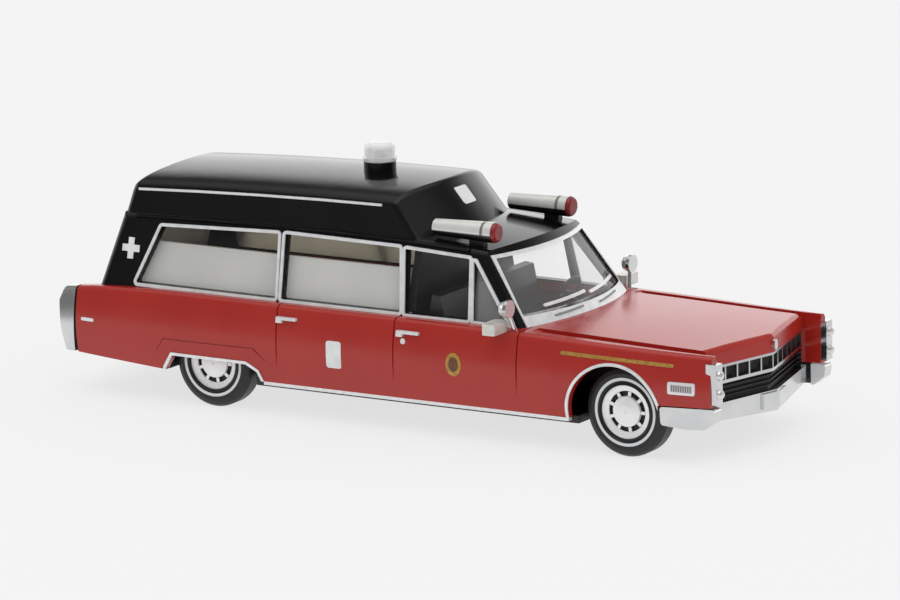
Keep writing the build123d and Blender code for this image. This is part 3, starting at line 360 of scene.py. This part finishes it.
def wheel_radius(look):
    """Distance from the nearer axle, in millimetres."""
    up = look.z - AXLE_Z
    to_front = abs(look.x - FRONT_AXLE_X)
    to_rear = abs(look.x - REAR_AXLE_X)
    near = look.x.maths("MINIMUM", to_front, to_rear)
    return look.x.maths("SQRT", near * near + up * up)


print("axles at x", round(FRONT_AXLE_X, 2), round(REAR_AXLE_X, 2), "and z", round(AXLE_Z, 2))

# %% Paint the tyres
PALE_RING = (2.95, 3.22)
PALE_RING_EDGE = 0.03
PALE_RING_TONE = (0.62, 0.64, 0.66)
TREAD_RADII = (4.0, 4.15)
GROOVE_RATE = 14.0
GROOVE_EDGES = (0.1, 0.5)
tyre = Look("tyre_rubber", 0.42)
radius = wheel_radius(tyre)
rubber = tyre.grain(0.6).mix((0.006, 0.006, 0.0065), (0.012, 0.012, 0.013))
tyre.set("Base Color", radius.within(*PALE_RING, PALE_RING_EDGE).mix(rubber, PALE_RING_TONE))
grooves = tyre.y.ripple(GROOVE_RATE).step(*GROOVE_EDGES) * radius.step(*TREAD_RADII)
tyre.bump(grooves, 0.6, 0.05)
print("tyres painted")

# %% Paint the rims
SLOT_RADII = (1.45, 1.93)
SLOT_EDGE = 0.03
SLOT_FLOOR_Y = (9.86, 9.96)
LIP_RADII = (2.5, 2.9)
LIP_EDGE = 0.04
RIM_METAL = 0.3
RIM_ROUGHNESS = 0.35
SHADE_ROUGHNESS = 0.1
RIM_PAINTED_SHADE = (0.006, 0.006, 0.007)
rim = Look("wheel_rim", RIM_ROUGHNESS, metallic=RIM_METAL)
radius = wheel_radius(rim)
# Painted shade: the slot floors and the groove inside the lip are painted near black, without
# metal.
slot_shade = radius.within(*SLOT_RADII, SLOT_EDGE) * (1.0 - abs(rim.y).step(*SLOT_FLOOR_Y))
dark = slot_shade.larger(radius.within(*LIP_RADII, LIP_EDGE))
plated = rim.grain(0.8).mix((0.80, 0.81, 0.82), (0.88, 0.88, 0.88))
rim.set("Base Color", dark.mix(plated, RIM_PAINTED_SHADE))
rim.set("Metallic", RIM_METAL - dark * RIM_METAL)
rim.set("Roughness", RIM_ROUGHNESS + dark * SHADE_ROUGHNESS)
print("rims painted")

# %% [markdown]
# ## Lamps and plates
#
# The headlamp lenses have fine upright ribs, each side lamp is a bright frame round a grey
# ribbed lens, and the blank plates have a raised rim. Ribs this fine would be hundreds of
# tiny faces, so a sine wave bumps them instead. The side lamps' ribs also carry painted shade:
# they are lighter on their crests and darker in their troughs.

# %% Paint the lamps
HEADLAMP_RIB_RATE = 22.0
SIDE_LAMP_X = (31.72, 33.9)
SIDE_LAMP_Z = (6.98, 7.6)
SIDE_LAMP_EDGE = 0.05
SIDE_RIB_RATE = 26.0
RIB_SHADE_EDGES = (-0.5, 0.5)
SIDE_FRAME = (0.74, 0.75, 0.76)
lens = Look("lamp_lens", 0.08, metallic=0.55, coat=1.0)
lens.set("Base Color", lens.grain(0.5).mix((0.66, 0.62, 0.62), (0.80, 0.77, 0.77)))
lens.bump(lens.y.ripple(HEADLAMP_RIB_RATE), 0.5, 0.03)

side_lamp = Look("side_lamp", 0.25, metallic=0.4)
lit_x = side_lamp.x.within(*SIDE_LAMP_X, SIDE_LAMP_EDGE)
window = lit_x * side_lamp.z.within(*SIDE_LAMP_Z, SIDE_LAMP_EDGE)
ribs = side_lamp.x.ripple(SIDE_RIB_RATE)
# Painted shade: the ribs are lighter on their crests and darker in their troughs.
grey = ribs.step(*RIB_SHADE_EDGES).mix((0.17, 0.16, 0.16), (0.50, 0.47, 0.47))
side_lamp.set("Base Color", window.mix(SIDE_FRAME, grey))
side_lamp.bump(ribs * window, 0.5, 0.04)
print("lamps painted")

# %% Paint the plates
PLATE_RIM_Y = (1.35, 1.45)
plate = Look("white_plate", 0.35)
plate.set("Base Color", plate.grain(0.8).mix((0.66, 0.67, 0.66), (0.74, 0.75, 0.74)))
plate.bump(abs(plate.y).step(*PLATE_RIM_Y), 0.5, 0.06)
print("plates painted")

# %% [markdown]
# ## Give every solid piece its look
#
# The record names a material slot for each piece, and most finishes above bear a slot's
# name. A few pieces of one slot are finished differently on the model, so a short table
# names their own finish. Only the list of materials on a mesh changes, never the mesh.

# %% Assign the looks
NODE_LOOKS = {
    "beacon_dome": "beacon_clear",
    "windscreen": "screen_glass",
    "cornering_lamps": "side_lamp",
    "door_mirrors": "mirror_back",
    "dashboard": "dash_top",
    "roof_lamp_tubes": "lamp_tube",
}
for part in frame["record"]["subparts"]:
    name = part["node"]
    look = "wheel_rim" if name.endswith("_rim") else NODE_LOOKS.get(name, part["material_slot"])
    mesh = nodes[name].data
    mesh.materials.clear()
    mesh.materials.append(materials[look])
print("looks given to", len(nodes), "pieces")

# %% [markdown]
# ## Flat shapes for the printed marks
#
# The model's fine details are printed: raised by a hair and perfectly following the skin.
# Each starts here as a flat sheet seen from the side, drawn with bmesh operators about the
# origin, so that one shape can be laid anywhere.

# %% Draw flat shapes
CORNER_STEPS = 4
OVAL_STEPS = 40


def stand(sheet):
    """Turns a sheet that was drawn in x and y upright, into x and z."""
    bmesh.ops.rotate(sheet, matrix=Matrix.Rotation(math.pi / 2, 3, "X"), verts=sheet.verts)
    return sheet


def panel(width, height, corner=0.0):
    """A flat sheet with its corners rounded."""
    sheet = bmesh.new()
    bmesh.ops.create_grid(sheet, x_segments=1, y_segments=1, size=0.5)
    bmesh.ops.scale(sheet, vec=(width, height, 1), verts=sheet.verts)
    stand(sheet)
    if corner > 0:
        bmesh.ops.bevel(
            sheet,
            geom=sheet.verts[:],
            offset=corner,
            segments=CORNER_STEPS,
            profile=0.5,
            affect="VERTICES",
            material=-1,
        )
    return sheet


def oval(width, height):
    """A flat oval."""
    sheet = bmesh.new()
    bmesh.ops.create_circle(sheet, cap_ends=True, segments=OVAL_STEPS, radius=0.5)
    bmesh.ops.scale(sheet, vec=(width, height, 1), verts=sheet.verts)
    return stand(sheet)


def cross(size, arm):
    """A flat cross: a square with an arm drawn out of each edge."""
    sheet = bmesh.new()
    bmesh.ops.create_grid(sheet, x_segments=1, y_segments=1, size=arm / 2)
    for edge in sheet.edges[:]:
        outward = (edge.verts[0].co + edge.verts[1].co).normalized()
        grown = bmesh.ops.extrude_edge_only(sheet, edges=[edge])["geom"]
        tips = [g for g in grown if isinstance(g, bmesh.types.BMVert)]
        bmesh.ops.translate(sheet, vec=outward * (size - arm) / 2, verts=tips)
    bmesh.ops.recalc_face_normals(sheet, faces=sheet.faces[:])
    return stand(sheet)


print("flat shapes can be drawn")

# %% [markdown]
# ## Laying a sheet on the skin
#
# A Shrinkwrap modifier could pull a sheet onto the car, but it may slide it sideways. Here
# the sheet is cut into small cells, each corner is sent along one straight ray until it
# meets the skin, and the sheet is then thickened outwards, sunk a hair so no gap shows.

# %% Ready the skins
skins = {}
for name in ("body_shell", "roof_shell", "windscreen", "windscreen_frame"):
    mesh = nodes[name].data
    corners = [v.co for v in mesh.vertices]
    skins[name] = BVHTree.FromPolygons(corners, [p.vertices for p in mesh.polygons])
print("skins ready:", ", ".join(skins))

# %% Cut and drape a sheet
SINK = 0.01 * MM
OUTSIDE = 60 * MM
CELL = 0.3 * MM
AXES = (Vector((1, 0, 0)), Vector((0, 1, 0)), Vector((0, 0, 1)))


def cut_into_cells(shape):
    """Cuts a sheet along each axis, so that it can bend with the skin."""
    for axis in AXES:
        spots = [v.co.dot(axis) for v in shape.verts]
        low, span = min(spots), max(spots) - min(spots)
        cuts = int(span / CELL)
        for i in range(1, cuts + 1):
            everything = shape.verts[:] + shape.edges[:] + shape.faces[:]
            place = axis * (low + span * i / (cuts + 1))
            bmesh.ops.bisect_plane(shape, geom=everything, plane_co=place, plane_no=axis)


def drape(name, shape, skin, ray, look, thickness):
    """Lays a flat sheet on a skin along a ray, thickens it outwards and adds it to the model."""
    cut_into_cells(shape)
    outward = Vector()
    for vert in shape.verts:
        hit, normal = skins[skin].ray_cast(vert.co - ray * OUTSIDE, ray)[:2]
        vert.co = hit - normal * SINK
        outward += normal
    grown = bmesh.ops.extrude_face_region(shape, geom=shape.faces[:])["geom"]
    raised = [g for g in grown if isinstance(g, bmesh.types.BMVert)]
    bmesh.ops.translate(shape, vec=outward.normalized() * (thickness + SINK), verts=raised)
    bmesh.ops.recalc_face_normals(shape, faces=shape.faces[:])
    mesh = bpy.data.meshes.new(name)
    shape.to_mesh(mesh)
    shape.free()
    mesh.materials.append(materials[look])
    mark = bpy.data.objects.new(name, mesh)
    bpy.context.scene.collection.objects.link(mark)
    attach(mark, "model")


print("sheets are cut into cells of", round(CELL / MM, 2), "mm")

# %% Lay sheets on the sides and ends
FORWARD = AXES[0]
BACKWARD = -AXES[0]


def lay(name, sheet, skin, x, z, look, slot, turn, thickness):
    """Lays a copy of a flat sheet on each side of the car."""
    tilt = Matrix.Rotation(math.radians(turn), 3, "Y")
    bmesh.ops.scale(sheet, vec=(MM, MM, MM), verts=sheet.verts)
    bmesh.ops.rotate(sheet, matrix=tilt, verts=sheet.verts)
    bmesh.ops.translate(sheet, vec=(x * MM, 0, z * MM), verts=sheet.verts)
    for hand, side in (("right", -1), ("left", 1)):
        inward = Vector((0, -side, 0))
        drape(f"{name}_{hand}", sheet.copy(), skin, inward, look, thickness)
    sheet.free()


def lay_end(name, sheet, skin, y, z, look, slot, turn, thickness, ray):
    """Lays a flat sheet on a skin that faces forward or to the rear."""
    tilt = Matrix.Rotation(math.radians(turn), 3, "X")
    bmesh.ops.scale(sheet, vec=(MM, MM, MM), verts=sheet.verts)
    bmesh.ops.rotate(sheet, matrix=Matrix.Rotation(math.pi / 2, 3, "Z"), verts=sheet.verts)
    bmesh.ops.rotate(sheet, matrix=tilt, verts=sheet.verts)
    bmesh.ops.translate(sheet, vec=(0, y * MM, z * MM), verts=sheet.verts)
    drape(name, sheet, skin, ray, look, thickness)


print("sheets can be laid on the sides and ends")

# %% [markdown]
# ## The marks on the sides
#
# Each side has a white cross on the rear pillar, a blank white panel and a gold oval on the
# doors, a gold line on the front wing, a door lock, and a bright bar on the rear wing. A
# painted mask in the body's material would be simpler, but it would have no edge to catch
# the light, and the exported mesh would lack the mark.

# %% Lay the marks
MARK_T = 0.05 * MM
MIDDLE_T = 0.08 * MM
LOCK_T = 0.12 * MM
OVAL_X, OVAL_Z = 8.6, 7.2
LINE_TURN = 0.8
WHITE = ("white_paint", "white_plate")  # a finish and its slot
GOLD = ("gold_paint", "silver_trim")
BROWN = ("oval_middle", "silver_trim")
SILVER = ("silver_trim", "silver_trim")
MARKS = (  # name, flat shape, skin, x, z, finish and slot, turn, thickness
    ("pillar_cross", cross(2.0, 0.66), "roof_shell", -29.15, 14.3, WHITE, 0.0, MARK_T),
    ("blank_panel", panel(1.65, 2.6, 0.25), "body_shell", -4.65, 6.8, WHITE, 0.0, MARK_T),
    ("gold_oval", oval(1.7, 2.2), "body_shell", OVAL_X, OVAL_Z, GOLD, 0.0, MARK_T),
    ("oval_middle", oval(1.0, 1.4), "body_shell", OVAL_X, OVAL_Z, BROWN, 0.0, MIDDLE_T),
    ("coach_line", panel(11.8, 0.34, 0.1), "body_shell", 26.0, 9.35, GOLD, LINE_TURN, MARK_T),
    ("door_lock", oval(0.5, 0.55), "body_shell", 3.05, 8.85, SILVER, 0.0, LOCK_T),
    ("rear_badge_bar", panel(1.5, 0.32, 0.1), "body_shell", -33.15, 7.3, SILVER, 0.0, MARK_T),
)
for name, flat, skin, x, z, finish, turn, thickness in MARKS:
    lay(name, flat, skin, x, z, *finish, turn, thickness)
print("marks laid on each side:", len(MARKS))

# %% [markdown]
# ## Wipers
#
# Two thin wipers rest on the foot of the windscreen. On a model this small they are usually
# printed. Here each is a raised blade on the glass and an arm that lies on the frame below
# it, so that the exported mesh has them too.

# %% Lay the wipers
WIPERS = (("right", -2.6), ("left", 4.4))  # side, the blade's middle y
WIPER_TURN = 2.0
BLADE_L = 6.4
BLADE_W = 0.26
BLADE_Z = 12.35
BLADE_T = 0.14 * MM
ARM_L = 4.2
ARM_W = 0.15
ARM_Z = 11.46
ARM_T = 0.1 * MM
ARM_SHIFT = 0.8
ROUND_SHARE = 1 / 3
for hand, y in WIPERS:
    blade = panel(BLADE_L, BLADE_W, BLADE_W * ROUND_SHARE)
    on_glass = ("windscreen", y, BLADE_Z, *SILVER)
    lay_end("wiper_blade_" + hand, blade, *on_glass, WIPER_TURN, BLADE_T, BACKWARD)
    arm = panel(ARM_L, ARM_W, ARM_W * ROUND_SHARE)
    on_frame = ("windscreen_frame", y - ARM_SHIFT, ARM_Z, "dash_top", "dark_interior")
    lay_end("wiper_arm_" + hand, arm, *on_frame, WIPER_TURN, ARM_T, BACKWARD)
print("wipers laid:", len(WIPERS))

# %% [markdown]
# ## The rear door's shut line
#
# The photo does not show the tail, so this is a guess: a car of this type has one wide rear
# door that takes in the rear window. Engraving its edge would change a solid piece, so a
# thin dark line is laid on instead: up the red tail, up the black pillars and over the
# window.

# %% Lay the shut line
SEAM_W = 0.13
SEAM_T = 0.015 * MM
LOW_SEAM_H, LOW_SEAM_Y, LOW_SEAM_Z = 5.0, 8.1, 8.0
HIGH_SEAM_H, HIGH_SEAM_Y, HIGH_SEAM_Z = 6.9, 7.65, 14.4
HIGH_SEAM_LEAN = 6.5
TOP_SEAM_L, TOP_SEAM_Z = 14.5, 17.85


def seam(name, width, height, skin, y, z, lean=0.0):
    """One straight stretch of the shut line."""
    line = panel(width, height)
    dark = ("black_chassis", "black_chassis")
    lay_end("door_seam_" + name, line, skin, y, z, *dark, lean, SEAM_T, FORWARD)


for hand, side in (("right", -1), ("left", 1)):
    seam("low_" + hand, SEAM_W, LOW_SEAM_H, "body_shell", side * LOW_SEAM_Y, LOW_SEAM_Z)
    lean = side * HIGH_SEAM_LEAN
    seam("high_" + hand, SEAM_W, HIGH_SEAM_H, "roof_shell", side * HIGH_SEAM_Y, HIGH_SEAM_Z, lean)
seam("top", TOP_SEAM_L, SEAM_W, "roof_shell", 0.0, TOP_SEAM_Z)
print("shut line laid")

# %% [markdown]
# ## The studio's floor
#
# The model stands on a pale sheet that is lit so evenly that it fades into the wall behind.
# Lamps alone would leave it uneven, so most of it glows and the rest is matte, to take a
# soft shadow. Shiny faces see the floor grow dark on the camera's side, as in a real studio
# where the lit sheet ends there.

# %% Make the floor
FLOOR_HALF = 3000 * MM
floor_mesh = bpy.data.meshes.new("floor")
shape = bmesh.new()
bmesh.ops.create_grid(shape, x_segments=1, y_segments=1, size=FLOOR_HALF)
shape.to_mesh(floor_mesh)
shape.free()
floor = bpy.data.objects.new("floor", floor_mesh)
bpy.context.scene.collection.objects.link(floor)
print("floor laid, metres across:", 2 * FLOOR_HALF)

# %% Paint the floor
FLOOR_MATTE = (0.85, 0.85, 0.85)
FLOOR_TONE = 0.90
FLOOR_GLOW = 0.8
ROOM_TONE = 0.20
FADE_AHEAD_X = (50, 90)
FADE_NEAR_Y = (-85, -45)
floor_look = Look("floor", 1.0, specular=0.0)
tree = floor_look.tree
floor_look.shader.inputs["Base Color"].default_value = rgba(FLOOR_MATTE)
nearer = 1.0 - floor_look.y.step(*FADE_NEAR_Y)
beyond = floor_look.x.step(*FADE_AHEAD_X).larger(nearer)
glossy_ray = node(tree, "ShaderNodeLightPath", output="Is Glossy Ray")
tone = FLOOR_TONE - glossy_ray * beyond * (FLOOR_TONE - ROOM_TONE)
matte = Sock(tree, floor_look.shader.outputs[0])
glow = node(tree, "ShaderNodeEmission", {"Color": tone})
floor_look.cover(node(tree, "ShaderNodeMixShader", (FLOOR_GLOW, matte, glow)))
floor_mesh.materials.append(floor_look.material)
print("floor painted")

# %% [markdown]
# ## The studio's room
#
# Gloss is only as good as what it mirrors. The camera sees an even near-white and matte
# faces get even daylight, but shiny ones see a bright sheet low behind the model, a bright
# ceiling, and a darker room on the camera's side. One world does all three by asking what
# kind of ray is looking, which is simpler than hanging cards round the model.

# %% Make the room
WALL_TONE = 0.915
DAY_TONE = 0.95
BACK_TONE = 1.45
CEILING_TONE = 0.80
BEHIND_EAST, BEHIND_NORTH = -0.533, 0.846
SHEET_SIDE = (-0.1, 0.35)
SHEET_TOP = (0.30, 0.62)
CEILING_EDGE = (0.62, 0.85)
world = bpy.data.worlds.new("room")
bpy.context.scene.world = world
world.use_nodes = True
tree = world.node_tree
ground = tree.nodes["Background"]
ground.inputs["Color"].default_value = rgba((1.0, 1.0, 1.0))
east, north, up = node(tree, "ShaderNodeTexCoord", output="Generated").axes()
behind = north * BEHIND_NORTH + east * BEHIND_EAST
sheet = behind.step(*SHEET_SIDE) * (1.0 - up.step(*SHEET_TOP))
ceiling = up.step(*CEILING_EDGE) * (CEILING_TONE - ROOM_TONE)
mirrored = ROOM_TONE + sheet * (BACK_TONE - ROOM_TONE) + ceiling
glossy_ray = node(tree, "ShaderNodeLightPath", output="Is Glossy Ray")
camera_ray = node(tree, "ShaderNodeLightPath", output="Is Camera Ray")
tone = DAY_TONE + glossy_ray * (mirrored - DAY_TONE)
tone = tone + camera_ray * (WALL_TONE - tone)
tone.into(ground.inputs["Strength"])
print("room made")

# %% [markdown]
# ## Light and camera
#
# One broad soft lamp above and a little in front adds a faint shadow under the sills. The
# camera stands far off with a long lens, as for small objects, so that near and far sides
# keep almost the same size. Its place was matched to the photo.

# %% Add the lamp
LAMP_PLACE = Vector((50, -100, 550)) * MM
LAMP_SIZE = 500 * MM
LAMP_POWER = 0.6
lamp_data = bpy.data.lights.new("ceiling", "AREA")
lamp_data.energy = LAMP_POWER
lamp_data.size = LAMP_SIZE
lamp = bpy.data.objects.new("ceiling", lamp_data)
lamp.location = LAMP_PLACE
lamp.rotation_euler = (-LAMP_PLACE).to_track_quat("-Z", "Y").to_euler()
bpy.context.scene.collection.objects.link(lamp)
print("lamp hung at", tuple(round(v, 2) for v in LAMP_PLACE))

# %% Add the camera
AZIMUTH = math.radians(32.1765)
ELEVATION = math.radians(12.3091)
ROLL = math.radians(-1.3171)
EYE_ACROSS = 0.6898
EYE_UP = 9.9796
EYE_BACK = 665.1836
SENSOR_W = 36.0
LENS = 280.0
CLIP = (50 * MM, 20000 * MM)
level = math.cos(ELEVATION)
back = Vector((math.sin(AZIMUTH) * level, -math.cos(AZIMUTH) * level, math.sin(ELEVATION)))
right = (-back).cross(AXES[2]).normalized()
top = right.cross(-back)
across = right * math.cos(ROLL) + top * math.sin(ROLL)
upward = top * math.cos(ROLL) - right * math.sin(ROLL)
eye = (across * EYE_ACROSS + upward * EYE_UP + back * EYE_BACK) * MM
turned = Matrix((across, upward, back)).transposed().to_4x4()
camera = bpy.data.objects.new("camera", bpy.data.cameras.new("camera"))
camera.matrix_world = Matrix.Translation(eye) @ turned
camera.data.sensor_width = SENSOR_W
camera.data.lens = LENS
camera.data.clip_start, camera.data.clip_end = CLIP
bpy.context.scene.collection.objects.link(camera)
bpy.context.scene.camera = camera
bpy.context.scene.view_settings.view_transform = "Standard"
print("camera, millimetres from the model:", round(eye.length / MM))
